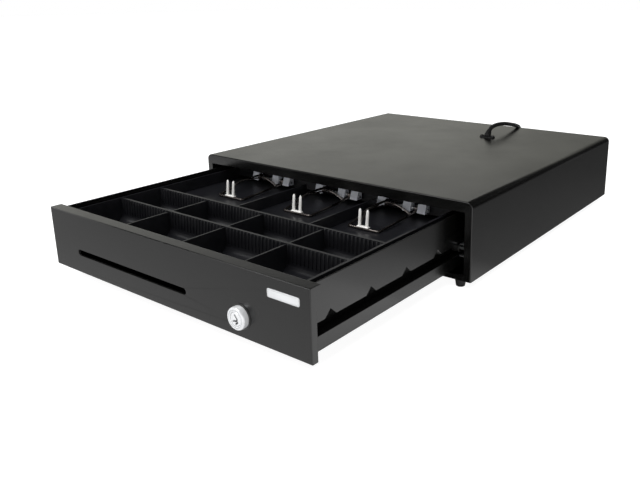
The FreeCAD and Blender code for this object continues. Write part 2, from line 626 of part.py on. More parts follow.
# ---- interface cable: out of a gland on the top, over the back edge, down, and coiled behind ----
ROUTE = [
    (54.9, 318.5, 101.6),
    (54.8, 324.2, 108.6),
    (55.1, 333.8, 111.8),
    (55.9, 349.6, 112.4),
    (57.0, 370.0, 110.4),
    (58.3, 391.4, 106.6),
    (59.4, 409.4, 103.0),
    (60.2, 423.6, 97.2),
    (60.4, 432.0, 84.4),
    (60.2, 436.2, 68.0),
    (58.8, 438.6, 49.6),
    (54.6, 440.4, 32.4),
    (46.6, 441.6, 18.4),
    (34.6, 442.6, 8.9),
    (19.6, 443.4, 4.2),
    (3.0, 443.9, 3.4),
]
COIL_X = ROUTE[-1][0]
COIL_Y = ROUTE[-1][1] + COIL_R
exit_point = vec(*ROUTE[0])
exit_way = (vec(*ROUTE[1]) - exit_point).normalize()
boot_root = exit_point - exit_way * BOOT_LENGTH


def cable_path(points):
    """Straight runs joined by arcs, each as large as its two runs allow."""
    spots = [vec(*p) for p in points]
    edges = []
    start = spots[0]
    for before, corner, after in zip(spots, spots[1:], spots[2:]):
        back = before - corner
        ahead = after - corner
        shorter = min(back.Length, ahead.Length)
        turn = math.pi - back.getAngle(ahead)
        reach_back = 0.45 * shorter
        radius = reach_back / math.tan(turn / 2)
        print("cable arc radius %.1f turn %.1f" % (radius, math.degrees(turn)))
        first = corner + back.normalize() * reach_back
        last = corner + ahead.normalize() * reach_back
        to_middle = (first + last) * 0.5 - corner
        depth = radius / math.cos(turn / 2) - radius
        middle = corner + to_middle.normalize() * depth
        edges.append(Part.LineSegment(start, first).toShape())
        edges.append(Part.Arc(first, middle, last).toShape())
        start = last
    edges.append(Part.LineSegment(start, spots[-1]).toShape())
    return Part.Wire(edges)


def cable_tube():
    path = cable_path(ROUTE)
    circle = Part.Wire(Part.Circle(exit_point, exit_way, CABLE_R).toShape())
    tube = path.makePipeShell([circle], True, False)
    expected = math.pi * CABLE_R ** 2 * path.Length
    print("cable tube length %.1f, volume ratio %.4f" % (path.Length, tube.Volume / expected))
    return tube


def cable_gland():
    flange = rod(GLAND_R, (GLAND_X, GLAND_Y, TOP_Z), (GLAND_X, GLAND_Y, TOP_Z + 2.2))
    flange = flange.makeFillet(0.9, [e for e in flange.Edges if len(e.Vertexes) == 1 and e.CenterOfMass.z > TOP_Z + 2])
    boot = Part.makeCone(5.4, 3.9, BOOT_LENGTH, boot_root, exit_way)
    neck = rod(6.0, (GLAND_X, GLAND_Y, TOP_Z - 7), (GLAND_X, GLAND_Y, TOP_Z + 1))
    return fuse(flange, boot, neck)


gland_nut = cut(rod(9.5, (GLAND_X, GLAND_Y, TOP_Z - SHEET - 4), (GLAND_X, GLAND_Y, TOP_Z - SHEET)),
                rod(6.0, (GLAND_X, GLAND_Y, TOP_Z - 9), (GLAND_X, GLAND_Y, TOP_Z)))
save("cable_gland", cable_gland())
save("cable_gland_nut", gland_nut)
save("cable_tube", cable_tube())
coil_low = 0.8
coil_high = coil_low + 2 * COIL_BAND
bundle = cut(rod(COIL_R + COIL_BAND, (COIL_X, COIL_Y, coil_low), (COIL_X, COIL_Y, coil_high)),
             rod(COIL_R - COIL_BAND, (COIL_X, COIL_Y, coil_low - 5), (COIL_X, COIL_Y, coil_high + 5)))
bundle = bundle.makeFillet(2.4, [e for e in bundle.Edges if len(e.Vertexes) == 1])
save("cable_coil", bundle)
tie_x0 = COIL_X - COIL_R - COIL_BAND
tie_x1 = COIL_X - COIL_R + COIL_BAND
tie = cut(box(tie_x0 - 0.8, tie_x1 + 0.8, COIL_Y - 2, COIL_Y + 2, 0, coil_high + 0.8),
          box(tie_x0, tie_x1, COIL_Y - 9, COIL_Y + 9, coil_low, coil_high))
save("cable_tie", tie)
plug_x = COIL_X + COIL_R + COIL_BAND - 0.4
plug = box(plug_x, plug_x + 9.6, COIL_Y + 4, COIL_Y + 26, 0, 6.6)
plug = plug.makeFillet(1.0, edges_along(plug, "y", lambda c: True))
latch_tab = prism([(COIL_Y + 5, 6.6), (COIL_Y + 7, 6.6), (COIL_Y + 19, 9.4), (COIL_Y + 18.4, 10.2)], "x",
                  plug_x + 2.4, plug_x + 7.2)
save("cable_plug", fuse(plug, latch_tab))


# ---- write one file for each node ----
for name, shape in NODES.items():
    if not shape.isValid():
        print("not valid:", name)
    shape.exportStep(os.path.join("parts", name + ".step"))
print(len(NODES), "nodes")
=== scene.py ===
import json
import math

import bmesh
import bpy
from mathutils import Matrix, Vector

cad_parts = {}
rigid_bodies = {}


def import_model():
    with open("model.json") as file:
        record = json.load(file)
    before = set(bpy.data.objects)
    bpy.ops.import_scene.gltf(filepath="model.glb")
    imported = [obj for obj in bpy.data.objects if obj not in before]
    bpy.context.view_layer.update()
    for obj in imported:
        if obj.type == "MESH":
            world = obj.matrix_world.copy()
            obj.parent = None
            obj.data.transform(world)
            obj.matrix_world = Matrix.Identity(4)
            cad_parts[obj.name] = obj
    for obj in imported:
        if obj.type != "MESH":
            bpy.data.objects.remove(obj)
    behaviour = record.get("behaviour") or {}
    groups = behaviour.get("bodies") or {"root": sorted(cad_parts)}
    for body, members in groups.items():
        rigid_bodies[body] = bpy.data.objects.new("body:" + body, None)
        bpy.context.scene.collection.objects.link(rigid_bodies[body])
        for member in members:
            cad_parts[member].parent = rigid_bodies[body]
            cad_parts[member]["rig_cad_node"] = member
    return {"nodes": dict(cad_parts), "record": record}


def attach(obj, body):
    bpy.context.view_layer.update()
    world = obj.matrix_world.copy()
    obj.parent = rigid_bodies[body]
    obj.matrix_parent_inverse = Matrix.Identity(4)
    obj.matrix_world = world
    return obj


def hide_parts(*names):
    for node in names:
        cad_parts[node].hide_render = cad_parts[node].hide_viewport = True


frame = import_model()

# Looks of a cash drawer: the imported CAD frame, with procedural materials on every node, and
# detailed pieces for the cable, the bill clips, the tray's ribs, the lock and the small trim.
# Pieces are drawn in mm as in part.py, and at() turns those places into metres in the row frame:
# +X right, +Y back, +Z up.

for stray in list(bpy.data.objects):
    if stray.type in {"MESH", "LIGHT", "CAMERA"} and "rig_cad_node" not in stray:
        bpy.data.objects.remove(stray)
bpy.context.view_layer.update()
MM = 0.001
FRONT_Y = -86.5          # the drawing's cabinet front in the row frame, in mm

# As in part.py, in mm
DEPTH = 415.0            # cabinet, front to back
BASE_Z = 9.0             # underside of the base
TOP_Z = 97.0
FACE_Y = -233.0          # the drawer face's front


def at(x, y, z):
    """A point given as in part.py, in mm with y from the cabinet's front, in the row frame."""
    return Vector((x * MM, (y + FRONT_Y) * MM, z * MM))


# ---- camera ----
CAMERA_AT = at(525.5453, -593.7534, 298.7668)
YAW, PITCH, ROLL = -0.6489, -0.271, -0.0109    # radians
SENSOR = 36.0            # mm
LENS = 38.500903         # mm
SHIFT = -0.08            # of the picture's width, both ways
NEAR, FAR = 0.02, 60.0   # metres


def make_camera():
    """The photo's camera: turned by yaw, then pitch, then roll from a level look along +Y."""
    forward = Vector((math.sin(YAW) * math.cos(PITCH), math.cos(YAW) * math.cos(PITCH), math.sin(PITCH)))
    level = Vector((math.cos(YAW), -math.sin(YAW), 0.0))
    up = level.cross(forward)
    right = level * math.cos(ROLL) + up * math.sin(ROLL)
    up = up * math.cos(ROLL) - level * math.sin(ROLL)
    data = bpy.data.cameras.new("Camera")
    data.sensor_width = SENSOR
    data.lens = LENS
    data.shift_x = data.shift_y = SHIFT
    data.clip_start, data.clip_end = NEAR, FAR
    camera = bpy.data.objects.new("Camera", data)
    bpy.context.scene.collection.objects.link(camera)
    basis = Matrix((right, up, -forward)).transposed().to_4x4()
    camera.matrix_world = Matrix.Translation(CAMERA_AT) @ basis
    bpy.context.scene.camera = camera


make_camera()


# ---- modelling helpers ----
PIECES = {}              # each new piece, and the slot that its finish comes from
SHARP_OVER = 32.0        # degrees between two faces


def keep(piece, body, slot_name, *nodes):
    """Puts a new piece on its body and in its slot, in place of the CAD nodes it stands for."""
    bpy.context.scene.collection.objects.link(piece)
    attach(piece, body)
    if nodes:
        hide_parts(*nodes)
    PIECES[piece] = slot_name
    return piece


def solid(name, bm):
    """A mesh object with smooth faces and crisp edges."""
    bmesh.ops.recalc_face_normals(bm, faces=bm.faces)
    mesh = bpy.data.meshes.new(name)
    bm.to_mesh(mesh)
    bm.free()
    mesh.shade_smooth()
    mesh.set_sharp_from_angle(angle=math.radians(SHARP_OVER))
    return bpy.data.objects.new(name, mesh)


def loft(bm, rings, closed=False):
    """A skin over rings of points: its ends are capped, or the last ring meets the first."""
    made = [[bm.verts.new(p) for p in ring] for ring in rings]
    following = made[1:] + made[:1] if closed else made[1:]
    for a, b in zip(made, following):
        for i in range(len(a)):
            j = (i + 1) % len(a)
            bm.faces.new((a[i], a[j], b[j], b[i]))
    if not closed:
        bm.faces.new(made[0][::-1])
        bm.faces.new(made[-1])
    return made


def round_ring(radius, steps, shape=None):
    """Points round a circle, each scaled by shape(step) where a shape is given."""
    points = []
    for i in range(steps):
        r = radius * (shape(i) if shape else 1.0)
        angle = 2 * math.pi * i / steps
        points.append((r * math.cos(angle), r * math.sin(angle)))
    return points


def corner_ring(half_w, half_h, radius, steps=5):
    """A rectangle's outline with round corners."""
    points = []
    for sx, sy, first in ((1, 1, 0.0), (-1, 1, 90.0), (-1, -1, 180.0), (1, -1, 270.0)):
        for i in range(steps):
            angle = math.radians(first + 90.0 * i / (steps - 1))
            points.append((sx * (half_w - radius) + radius * math.cos(angle),
                           sy * (half_h - radius) + radius * math.sin(angle)))
    return points


def lathe(bm, start, way, profile, steps=32, closed=False):
    """Turns (distance along the way, radius) or (distance, radius, shape) points round an axis."""
    turn = Vector(way).to_track_quat("Z", "Y")
    rings = []
    for along, radius, *shape in profile:
        flat = round_ring(radius, steps, *shape)
        rings.append([at(*(Vector(start) + turn @ Vector((a, b, along)))) for a, b in flat])
    return loft(bm, rings, closed)


def block(bm, low, high, rounding=0.3):
    """A box with round vertical corners and eased top and bottom."""
    middle = [(a + b) / 2 for a, b in zip(low, high)]
    half_w, half_h = (high[0] - low[0]) / 2, (high[1] - low[1]) / 2
    rings = []
    bottom, top = low[2], high[2]
    for z, inset in ((bottom, rounding), (bottom + rounding, 0.0), (top - rounding, 0.0), (top, rounding)):
        outline = corner_ring(half_w - inset, half_h - inset, rounding, 3)
        rings.append([at(middle[0] + a, middle[1] + b, z) for a, b in outline])
    return loft(bm, rings)


def wire(name, runs, radius, resolution=5):
    """Round wire, a smooth line for each list of points."""
    curve = bpy.data.curves.new(name, "CURVE")
    curve.dimensions = "3D"
    for points in runs:
        spline = curve.splines.new("NURBS")
        spline.points.add(len(points) - 1)
        for point, p in zip(spline.points, points):
            point.co = (*at(*p), 1.0)
            point.radius = radius * MM
        spline.order_u = 3
        spline.use_endpoint_u = True
        spline.resolution_u = resolution
    curve.bevel_depth = 1.0
    curve.bevel_resolution = 4
    curve.use_fill_caps = True
    return bpy.data.objects.new(name, curve)


def cross(i):
    """The outline of a cross recess over 32 steps."""
    return 1.0 if i % 8 in (7, 0, 1) else 0.45


def pan_head(bm, start, way, radius, height):
    """A pan-head screw with a cross recess."""
    outside = [(0, radius * 0.6), (0, radius), (height * 0.45, radius), (height * 0.85, radius * 0.86),
               (height, radius * 0.66)]
    recess = [(height, radius * 0.5, cross), (height * 0.35, radius * 0.36, cross)]
    lathe(bm, start, way, outside + recess)


# ---- cable ----
CABLE_R = 3.0            # mm, as in part.py
ROUTE = [(54.9, 318.5, 101.6), (54.8, 323.0, 107.6), (55.1, 332.6, 110.9), (55.8, 347.6, 111.8),
         (56.8, 368.0, 110.0), (57.2, 390.0, 105.4), (57.4, 407.6, 101.4), (57.6, 420.0, 97.0),
         (58.2, 428.0, 85.2), (59.0, 433.6, 68.0), (58.8, 437.6, 49.6), (54.6, 440.2, 32.4),
         (46.6, 441.0, 18.4), (34.6, 441.2, 8.9), (19.6, 440.9, 4.8)]
COIL_AT = (3.0, 476.9)
COIL_R = 32.6
COIL_LIFT = 7.8          # the middle of the bundle, above the floor
STRAND_OFF = 4.35        # each turn's distance from the middle of the bundle
COIL_TURNS = 3.5
PER_TURN = 20
TO_PLUG = [(14.0, 513.6, 6.0), (26.0, 513.6, 4.4), (36.6, 512.0, 3.6), (44.0, 508.0, 3.3),
           (46.4, 502.0, 3.3), (46.4, 496.0, 3.3)]


def coil_points():
    """The coil's turns, each a quarter further round the bundle than the last."""
    points = []
    steps = int(COIL_TURNS * PER_TURN)
    for i in range(steps + 1):
        t = i / PER_TURN
        angle = -math.pi / 2 - 2 * math.pi * t
        place = -math.pi / 4 - math.pi / 2 * t
        radius = COIL_R + STRAND_OFF * math.cos(place)
        points.append((COIL_AT[0] + radius * math.cos(angle), COIL_AT[1] + radius * math.sin(angle),
                       COIL_LIFT + STRAND_OFF * math.sin(place)))
    return points


def cable_tie():
    """A strap round the bundle, with its ratchet head outside and a cut tail."""
    bm = bmesh.new()
    x, y = COIL_AT[0] - COIL_R, COIL_AT[1]
    inside, outside, half = 7.4, 7.75, 2.2
    head_half, tail_half = 2.6, 1.9
    rings = []
    for r, dy in ((inside, -half), (outside, -half), (outside, half), (inside, half)):
        rings.append([at(x + a, y + dy, COIL_LIFT + b) for a, b in round_ring(r, 40)])
    loft(bm, rings, closed=True)
    block(bm, (x - 11.6, y - head_half, COIL_LIFT - 2.4), (x - 7.3, y + head_half, COIL_LIFT + 2.4), 0.5)
    block(bm, (x - 10.2, y - tail_half, COIL_LIFT + 2.3), (x - 9.2, y + tail_half, COIL_LIFT + 6.4), 0.3)
    return solid("cable_tie_band", bm)


PLUG_X, PLUG_Y = 46.4, 480.9     # middle across, and the front end of the plug
CONTACTS, CONTACT_PITCH = 6, 1.25
CONTACT_HALF = 0.25


def cable_plug():
    """A clear modular plug with a stepped back end and its latch."""
    bm = bmesh.new()
    front, back = 4.8, 4.3           # half widths
    block(bm, (PLUG_X - front, PLUG_Y, 0.0), (PLUG_X + front, PLUG_Y + 12.5, 6.6), 0.5)
    block(bm, (PLUG_X - back, PLUG_Y + 12.2, 0.2), (PLUG_X + back, PLUG_Y + 22.0, 6.2), 0.5)
    lever = []
    for y, low, high in ((1.0, 6.2, 7.2), (2.4, 6.4, 7.5), (11.0, 8.0, 9.0), (15.5, 9.0, 9.9),
                         (16.0, 9.3, 9.8)):
        half = 3.0 if y < 3.0 else 1.6
        corners = ((-half, low), (half, low), (half, high), (-half, high))
        lever.append([at(PLUG_X + a, PLUG_Y + y, z) for a, z in corners])
    loft(bm, lever)
    return solid("cable_plug_body", bm)


def plug_contacts():
    """Six blade contacts in the front of the plug."""
    bm = bmesh.new()
    for i in range(CONTACTS):
        x = PLUG_X + (i - (CONTACTS - 1) / 2) * CONTACT_PITCH
        block(bm, (x - CONTACT_HALF, PLUG_Y - 0.1, 0.9), (x + CONTACT_HALF, PLUG_Y + 5.4, 4.4), 0.1)
    return solid("cable_plug_contacts", bm)


cable = keep(wire("cable", [ROUTE + coil_points() + TO_PLUG], CABLE_R, 8), "cabinet", "cable_black",
             "cable_tube", "cable_coil")
tie = keep(cable_tie(), "cabinet", "cable_black", "cable_tie")
plug = keep(cable_plug(), "cabinet", "plug_clear", "cable_plug")
contacts = keep(plug_contacts(), "cabinet", "zinc_steel")


# ---- bill clips ----
CLIP_X = {"left": -107.0, "middle": 5.0, "right": 101.0}
AXLE_Y, AXLE_Z = 24.5, 70.5
ARM_X = 20.5             # each arm's distance from the clip's middle
FRAME_R, SPRING_R = 1.4, 0.9     # wire radii
WOUND_R, SPRING_WOUND_R = 3.1, 2.5   # round the axle
WOUND_TURNS = 2
PER_TURN_OF_WIRE = 12
CROSS_Y, CROSS_Z = -49.0, 63.2   # the cross wire at the front
PRONG_X = 5.0            # each prong's distance from the clip's middle
PRONG_TOP = 84.2
COLLARS_X = (-16.4, 14.6)        # each collar's foot, from the clip's middle
STRAP_HALF_W, STRAP_HALF_T, STRAP_STEPS = 2.3, 0.45, 14


def windings(x0, x1, radius, last):
    """Turns of wire round the axle from x0 to x1, ending at the angle last, in degrees from the back."""
    points = []
    steps = WOUND_TURNS * PER_TURN_OF_WIRE
    for i in range(steps + 1):
        share = i / steps
        angle = math.radians(last) - 2 * math.pi * WOUND_TURNS * (1 - share)
        points.append((x0 + (x1 - x0) * share, AXLE_Y + radius * math.cos(angle),
                       AXLE_Z + radius * math.sin(angle)))
    return points


def clip_frame(side, x):
    """One wire: wound on the axle, along an arched arm, across the front, and back along a low arm."""
    left_x, right_x = x - ARM_X, x + ARM_X
    left = windings(left_x - 1.6, left_x + 0.8, WOUND_R, 90)
    for y, z in ((12.0, 73.6), (0.0, 72.9), (-12.0, 72.2), (-20.0, 70.4), (-33.0, 66.2), (-44.0, 63.6),
                 (CROSS_Y, CROSS_Z)):
        left.append((left_x, y, z))
    front = [(left_x + 5.0, CROSS_Y, CROSS_Z), (right_x - 5.0, CROSS_Y, CROSS_Z)]
    right = [(right_x, y, z) for y, z in ((CROSS_Y, CROSS_Z), (-43.0, 63.4), (-14.0, 65.0), (14.0, 66.9))]
    wound = windings(right_x + 1.6, right_x - 0.8, WOUND_R, -90)
    return wire("bill_clip_frame_" + side, [left + front + right + wound[::-1]], FRAME_R)


def clip_spring(side, x):
    """A thinner wire that presses the frame down, wound on the axle and hooked over the cross wire."""
    line = windings(x - 12.0, x - 8.6, SPRING_WOUND_R, 90)
    for out, y, z in ((10.0, 14.0, 73.6), (11.5, 4.0, 73.7), (12.6, -8.0, 74.8), (12.8, -20.0, 76.2),
                      (12.0, -27.5, 74.0), (9.5, -37.0, 68.6), (7.4, -45.0, 65.6), (7.4, CROSS_Y, 65.4)):
        line.append((x - out, y, z))
    return wire("bill_clip_spring_" + side, [line], SPRING_R)


def clip_strap(side, x):
    """An arched leaf that ties the arms together just ahead of the axle."""
    bm = bmesh.new()
    start = Vector((x - 16.0, 19.6, 72.0))
    crest = Vector((x + 2.0, 17.0, 74.2))
    end = Vector((x + ARM_X, 11.5, 66.4))
    across = Vector((0.25, 0.88, -0.30)) * STRAP_HALF_W
    thick = Vector((0.25, 0.28, 0.92)) * STRAP_HALF_T
    rings = []
    for i in range(STRAP_STEPS + 1):
        t = i / STRAP_STEPS
        c = start * (1 - t) ** 2 + crest * 2 * t * (1 - t) + end * t ** 2
        corners = ((-1, -1), (1, -1), (1, 1), (-1, 1))
        rings.append([at(*(c + across * a + thick * b)) for a, b in corners])
    loft(bm, rings)
    return solid("bill_clip_strap_" + side, bm)


def clip_prongs(side, x):
    """Two flat finger prongs with pointed tops, on a foot over the cross wire."""
    bm = bmesh.new()
    seat = CROSS_Z + 1.3
    foot = PRONG_X + 2.6
    sections = ((0.0, 2.3, 1.5), (0.08, 1.85, 1.05), (0.45, 1.7, 0.95), (0.86, 1.6, 0.9),
                (0.95, 1.1, 0.75), (1.0, 0.4, 0.4))
    block(bm, (x - foot, CROSS_Y - 2.4, seat), (x + foot, CROSS_Y + 2.4, seat + 1.2), 0.4)
    for s in (-1, 1):
        rings = []
        for share, half_w, half_t in sections:
            z = seat + share * (PRONG_TOP - seat)
            y = CROSS_Y + 2.0 * share
            outline = corner_ring(half_w, half_t, min(half_t, half_w) * 0.7, 3)
            rings.append([at(x + s * PRONG_X + a, y + b, z) for a, b in outline])
        loft(bm, rings)
    return solid("bill_clip_prongs_" + side, bm)


def clip_collars():
    """Two collars on each axle, which keep the windings in place."""
    bm = bmesh.new()
    profile = [(0, 2.6), (0.3, 2.9), (1.5, 2.9), (1.8, 2.6)]
    for x in CLIP_X.values():
        for offset in COLLARS_X:
            lathe(bm, (x + offset, AXLE_Y, AXLE_Z), (1, 0, 0), profile, 20)
    return solid("clip_collars", bm)


for side, x in CLIP_X.items():
    keep(clip_frame(side, x), "clip_" + side, "clip_wire", "bill_clip_" + side)
    keep(clip_spring(side, x), "clip_" + side, "clip_wire")
    keep(clip_strap(side, x), "clip_" + side, "clip_wire")
    keep(clip_prongs(side, x), "clip_" + side, "satin_nickel", "clip_prongs_" + side)
keep(clip_collars(), "drawer", "zinc_steel")


# ---- tray ribs: the dividers slide in between them ----
RIB_PITCH = 5.0
RIB_PROUD, RIB_ROOT = 0.8, 0.3       # out of the wall, and into it
RIB_HALF = 0.9
RIB_LOW, RIB_TOP = 57.6, 75.6
COIN_DIVIDERS = (-88.0, 3.0, 90.0)
DIVIDER_HALF = 1.3       # half a divider, with play
TRAY_INSIDE = (-177.0, 166.0)
RIBBED = {               # wall face: its y, and which way it looks
    "front_wall": (-214.0, 1), "row_wall_front": (-155.0, -1), "row_wall_back": (-152.0, 1),
    "note_wall_front": (-101.0, -1),
}


def rib_places():
    """Where the ribs stand across the tray: evenly, but not in front of a divider."""
    places = []
    x = TRAY_INSIDE[0] + RIB_PITCH
    while x < TRAY_INSIDE[1] - RIB_PITCH / 2:
        if all(abs(x - divider) > DIVIDER_HALF + RIB_HALF for divider in COIN_DIVIDERS):
            places.append(x)
        x += RIB_PITCH
    return places


def wall_ribs(name, y, way):
    """Upright ribs along one wall, rooted in it, with sloped ends."""
    bm = bmesh.new()
    for x in rib_places():
        rings = []
        for z, shrink in ((RIB_LOW - 0.6, 0.25), (RIB_LOW, 1.0), (RIB_TOP - 0.9, 1.0), (RIB_TOP, 0.3)):
            crest, proud = RIB_HALF * 0.6, RIB_PROUD * shrink
            outline = ((-RIB_HALF, -RIB_ROOT), (-crest, proud), (crest, proud), (RIB_HALF, -RIB_ROOT))
            rings.append([at(x + a, y + way * b, z) for a, b in outline])
        loft(bm, rings)
    return solid("tray_ribs_" + name, bm)


for name, (y, way) in RIBBED.items():
    keep(wall_ribs(name, y, way), "drawer", "tray_plastic")


# ---- lock ----
LOCK_X, LOCK_Z = 110.0, 36.5
LOCK_R, LOCK_PROUD = 10.6, 7.1       # the drum
BARREL_R, CORE_R = 9.0, 6.5
CORE_SUNK = 0.5                      # the core's face, below the drum's
BARREL_BACK = -27.0                  # along the lock, from the face
GASKET_R = 11.9
KEYWAY = [(-1.6, 4.3), (-0.1, 4.2), (0.9, 2.5), (2.2, 1.5), (2.9, 0.2), (2.5, -1.3), (3.3, -2.8),
          (2.0, -4.4), (0.6, -5.6), (-1.1, -5.2), (0.1, -3.7), (0.6, -2.9), (0.1, -2.8), (-3.3, -3.6),
          (-3.8, -2.0), (-1.2, -1.3), (0.5, -1.0), (0.7, -0.1), (0.0, 1.0), (-1.1, 2.2)]
KEYWAY_DEPTH = 11.0


def lock_bezel():
    """Chrome drum with an eased rim, a turned groove in its face, and the barrel behind the panel."""
    bm = bmesh.new()
    top, bore = LOCK_PROUD, CORE_R + 0.15
    foot = [(0.0, BARREL_R), (0.0, LOCK_R - 0.4), (0.9, LOCK_R - 0.4), (1.1, LOCK_R)]
    rim = [(top - 1.5, LOCK_R), (top - 0.7, LOCK_R - 0.25), (top - 0.2, LOCK_R - 0.8), (top, LOCK_R - 1.5),
           (top, LOCK_R - 2.0)]
    groove = [(top - 0.7, LOCK_R - 2.1), (top - 0.7, LOCK_R - 2.8), (top - 0.1, LOCK_R - 2.9)]
    inside = [(top - 0.1, CORE_R + 0.6), (top - 0.4, bore), (BARREL_BACK, bore), (BARREL_BACK, BARREL_R)]
    profile = foot + rim + groove + inside
    lathe(bm, (LOCK_X, FACE_Y, LOCK_Z), (0, -1, 0), profile, 56, closed=True)
    return solid("lock_bezel", bm)


def lock_core():
    """The plug that the key turns, its keyway cut 11 mm deep, with a collar at the back end."""
    bm = bmesh.new()
    face = LOCK_PROUD - CORE_SUNK
    collar = BARREL_BACK - 0.3
    profile = [(-29.0, 8.4), (collar, 8.4), (collar, CORE_R), (face - 0.4, CORE_R), (face, CORE_R - 0.4)]
    rings = lathe(bm, (LOCK_X, FACE_Y, LOCK_Z), (0, -1, 0), profile, 48)
    front = [f for f in bm.faces if all(v in rings[-1] for v in f.verts)]
    bmesh.ops.delete(bm, geom=front, context="FACES_ONLY")
    key_front = [bm.verts.new(at(LOCK_X + a, FACE_Y - face, LOCK_Z + b)) for a, b in KEYWAY]
    key_back = [bm.verts.new(at(LOCK_X + a, FACE_Y - face + KEYWAY_DEPTH, LOCK_Z + b)) for a, b in KEYWAY]
    edges = [bm.edges.new((key_front[i - 1], key_front[i])) for i in range(len(KEYWAY))]
    edges += [bm.edges.get((rings[-1][i - 1], rings[-1][i])) for i in range(len(rings[-1]))]
    bmesh.ops.triangle_fill(bm, use_beauty=True, use_dissolve=False, edges=edges)
    for i in range(len(KEYWAY)):
        bm.faces.new((key_front[i - 1], key_front[i], key_back[i], key_back[i - 1]))
    bm.faces.new(key_back)
    return solid("lock_core", bm)


def lock_keyway_shade():
    """A dark block that fills the keyway from a little way in: painted shade for the depth of the slot."""
    bm = bmesh.new()
    rings = []
    for depth in (KEYWAY_DEPTH - 0.1, 1.4):
        y = FACE_Y - LOCK_PROUD + CORE_SUNK + depth
        rings.append([at(LOCK_X + 0.995 * a, y, LOCK_Z + 0.995 * b) for a, b in KEYWAY])
    loft(bm, rings)
    return solid("lock_keyway_shade", bm)


def lock_gasket():
    """A thin black ring between the drum and the painted face."""
    bm = bmesh.new()
    inner = LOCK_R - 0.7
    profile = [(0.0, inner), (0.0, GASKET_R), (0.45, GASKET_R), (0.75, GASKET_R - 0.4), (0.75, inner)]
    lathe(bm, (LOCK_X, FACE_Y, LOCK_Z), (0, -1, 0), profile, 56, closed=True)
    return solid("lock_gasket", bm)


keep(lock_bezel(), "drawer", "chrome", "lock_barrel")
keep(lock_gasket(), "drawer", "nylon")
# The dark block in the keyway is painted shade.
keep(lock_keyway_shade(), "lock_rotor", "nylon")
keep(lock_core(), "lock_rotor", "chrome", "lock_plug")


# ---- badge, feet, gland and screws ----
BADGE_X, BADGE_Z = 162.0, 68.1
BADGE_HALF_W, BADGE_HALF_H = 18.0, 3.9
# Each ring's distance out from the face, and in from the plate's edge
BADGE_RINGS = [(0.0, 0.0), (0.55, 0.0), (0.8, 0.25), (0.8, 0.6), (0.3, 0.65), (0.3, 0.95), (0.7, 1.0)]


def badge():
    """A blank plate with a raised rim round its field."""
    bm = bmesh.new()
    rings = []
    for out, inset in BADGE_RINGS:
        outline = corner_ring(BADGE_HALF_W - inset, BADGE_HALF_H - inset, 1.6 - inset)
        rings.append([at(BADGE_X + a, FACE_Y - out, BADGE_Z + b) for a, b in outline])
    loft(bm, rings)
    return solid("badge", bm)


FOOT_X = 188.5
FOOT_Y = (8.0, 399.0)


def feet():
    """Tapered rubber feet with a hollow underneath, each pushed through the base."""
    bm = bmesh.new()
    hollow = [(3.2, 1.2), (3.2, 2.4), (0.5, 2.7), (0.0, 3.0)]
    outside = [(0.0, 4.5), (0.5, 4.95), (8.4, 6.25), (BASE_Z, 6.25)]
    button = [(BASE_Z, 2.0), (10.2, 2.0), (10.2, 3.2), (10.8, 3.2), (12.2, 1.8)]
    profile = hollow + outside + button
    for x in (-FOOT_X, FOOT_X):
        for y in FOOT_Y:
            lathe(bm, (x, y, 0.0), (0, 0, 1), profile, 28)
    return solid("feet", bm)


GLAND_X, GLAND_Y = 55.0, 316.0
GLAND_SCREW_X = 8.9      # each screw's distance from the gland's middle
FLANGE_HALF_W, FLANGE_HALF_H, FLANGE_CORNER = 12.0, 5.6, 5.5
NECK_R, NECK_DEPTH = 6.0, 7.0
BOOT_ROOT = 4.5          # how far below the exit the boot begins
BOOT_RIBS, RIB_STEP = 4, 2.1
SMALL_HEAD_R, SMALL_HEAD_H = 2.5, 1.6


def gland():
    """An oblong flange, the neck through the top, and a ribbed boot along the cable."""
    bm = bmesh.new()
    rings = []
    for z, inset in ((TOP_Z, 0.0), (TOP_Z + 1.1, 0.0), (TOP_Z + 1.7, 0.6)):
        outline = corner_ring(FLANGE_HALF_W - inset, FLANGE_HALF_H - inset, FLANGE_CORNER - inset, 8)
        rings.append([at(GLAND_X + a, GLAND_Y + b, z) for a, b in outline])
    loft(bm, rings)
    neck = [(0, NECK_R - 0.4), (0.4, NECK_R), (NECK_DEPTH + 0.5, NECK_R)]
    lathe(bm, (GLAND_X, GLAND_Y, TOP_Z - NECK_DEPTH), (0, 0, 1), neck)
    way = (Vector(ROUTE[1]) - Vector(ROUTE[0])).normalized()
    root = Vector(ROUTE[0]) - way * BOOT_ROOT
    profile = [(-1.5, 5.6), (1.0, 5.4)]
    for i in range(BOOT_RIBS):
        wide = 5.3 - 0.42 * i
        for along, slim in ((1.2, 0.0), (2.4, 0.15), (2.5, 0.8), (3.1, 0.85)):
            profile.append((along + RIB_STEP * i, wide - slim))
    profile += [(9.8, 3.5), (10.2, 3.2)]
    lathe(bm, root, way, profile, 28)
    return solid("gland", bm)


def gland_screws():
    """Two small screws that hold the gland's flange."""
    bm = bmesh.new()
    for s in (-1, 1):
        x = GLAND_X + s * GLAND_SCREW_X
        pan_head(bm, (x, GLAND_Y, TOP_Z + 1.6), (0, 0, 1), SMALL_HEAD_R, SMALL_HEAD_H)
    return solid("gland_screws", bm)


REAR_SCREWS_X, REAR_SCREWS_Z = (-188.0, 0.0, 188.0), (19.0, 87.0)
BASE_SCREWS_X, BASE_SCREWS_Y = (-192.0, 192.0), (110.0, 240.0)
HEAD_R, HEAD_H = 3.2, 1.7


